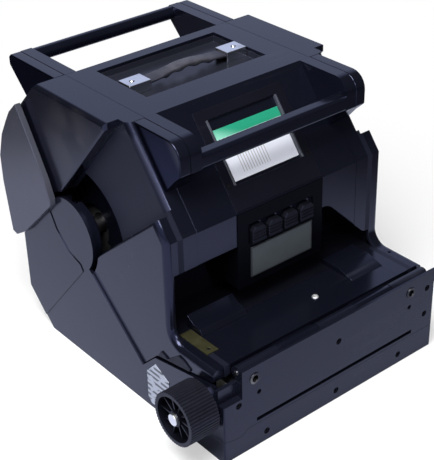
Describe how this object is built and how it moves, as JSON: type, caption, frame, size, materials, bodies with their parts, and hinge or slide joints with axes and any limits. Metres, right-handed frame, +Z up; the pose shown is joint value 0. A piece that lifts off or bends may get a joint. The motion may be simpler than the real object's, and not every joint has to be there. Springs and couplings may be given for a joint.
{
  "type": "roll paper magazine",
  "caption": "Light-tight roll paper magazine of a photo printer: hinged cover with handles, feed knob and slit mouth.",
  "frame": {"origin": "centre of the flat underside of the base, 200 mm behind the mouth's front face", "axes": "+X across to the right seen from the mouth, +Y from the mouth to the back, +Z up"},
  "size_m": [0.384, 0.43, 0.349],
  "materials": {
    "moulded_shell": "gloss",
    "dark_plastic": "satin",
    "black_screw": "satin",
    "bright_steel": "satin",
    "plush": "matte",
    "white_acetal": "satin",
    "roller_rubber": "matte",
    "flange_sheet": "satin",
    "label_white": "satin",
    "card_green": "satin",
    "frame_grey": "satin",
    "plate_silver": "satin",
    "strap_weave": "matte",
    "strap_chrome": "polished",
    "brass_plate": "satin"
  },
  "bodies": {
    "base": {"base_pan": "moulded_shell", "base_left_side": "moulded_shell", "base_right_side": "moulded_shell", "left_wing": "moulded_shell", "right_wing": "moulded_shell", "mouth_upper_plate": "moulded_shell", "mouth_lower_plate": "moulded_shell", "mouth_screws": "black_screw", "mouth_bushes": "bright_steel", "upper_light_seal": "plush", "lower_light_seal": "plush", "roller_bearings": "white_acetal", "roller_guard": "dark_plastic", "side_label": "label_white", "hinge_pin": "bright_steel"},
    "knob": {"knob": "dark_plastic", "knob_shaft": "bright_steel", "knob_gear": "white_acetal", "knob_cap": "bright_steel"},
    "feed_roller": {"feed_roller": "roller_rubber", "feed_gear": "white_acetal"},
    "pinch_roller": {"pinch_roller": "bright_steel"},
    "spindle": {"spindle": "bright_steel", "spindle_flanges": "flange_sheet", "core_chucks": "dark_plastic"},
    "code_tab_1": {"code_tab_1": "dark_plastic"},
    "code_tab_2": {"code_tab_2": "dark_plastic"},
    "code_tab_3": {"code_tab_3": "dark_plastic"},
    "code_tab_4": {"code_tab_4": "dark_plastic"},
    "cover": {"cover_left_cap": "moulded_shell", "cover_right_cap": "moulded_shell", "cover_centre": "moulded_shell", "cover_ledge": "moulded_shell", "code_panel": "moulded_shell", "left_arms": "moulded_shell", "right_arms": "moulded_shell", "front_handle": "moulded_shell", "rear_handle": "moulded_shell", "strap_tray": "moulded_shell", "ledge_pads": "moulded_shell", "label_door": "moulded_shell", "seam_trim": "dark_plastic", "hand_recess": "dark_plastic", "label_screws": "black_screw", "strap_screws": "bright_steel", "ledge_button": "bright_steel", "label_card": "card_green", "label_frame": "frame_grey", "name_plate": "plate_silver", "strap": "strap_weave", "strap_ends": "strap_chrome", "brass_strip": "brass_plate"}
  },
  "joints": [
    {"name": "cover_hinge", "type": "hinge", "parent": "base", "child": "cover", "pos_m": [0, -0.188, 0.104], "axis": [1, 0, 0], "range_deg": [0, 80]},
    {"name": "knob_turn", "type": "hinge", "parent": "base", "child": "knob", "pos_m": [-0.19, -0.17, 0.069], "axis": [1, 0, 0], "continuous": true},
    {"name": "feed_roller_turn", "type": "hinge", "parent": "base", "child": "feed_roller", "pos_m": [0, -0.17, 0.051], "axis": [1, 0, 0], "continuous": true},
    {"name": "pinch_roller_turn", "type": "hinge", "parent": "base", "child": "pinch_roller", "pos_m": [0, -0.17, 0.0276], "axis": [1, 0, 0], "continuous": true},
    {"name": "spindle_turn", "type": "hinge", "parent": "base", "child": "spindle", "pos_m": [0, 0.078, 0.167], "axis": [1, 0, 0], "continuous": true},
    {"name": "code_tab_1_slide", "type": "slide", "parent": "cover", "child": "code_tab_1", "axis": [0, 0, 1], "range_m": [0, 0.004]},
    {"name": "code_tab_2_slide", "type": "slide", "parent": "cover", "child": "code_tab_2", "axis": [0, 0, 1], "range_m": [0, 0.004]},
    {"name": "code_tab_3_slide", "type": "slide", "parent": "cover", "child": "code_tab_3", "axis": [0, 0, 1], "range_m": [0, 0.004]},
    {"name": "code_tab_4_slide", "type": "slide", "parent": "cover", "child": "code_tab_4", "axis": [0, 0, 1], "range_m": [0, 0.004]}
  ],
  "couplings": [
    {"joint": "feed_roller_turn", "follows": "knob_turn", "ratio": -1},
    {"joint": "pinch_roller_turn", "follows": "knob_turn", "ratio": 1.3}
  ]
}
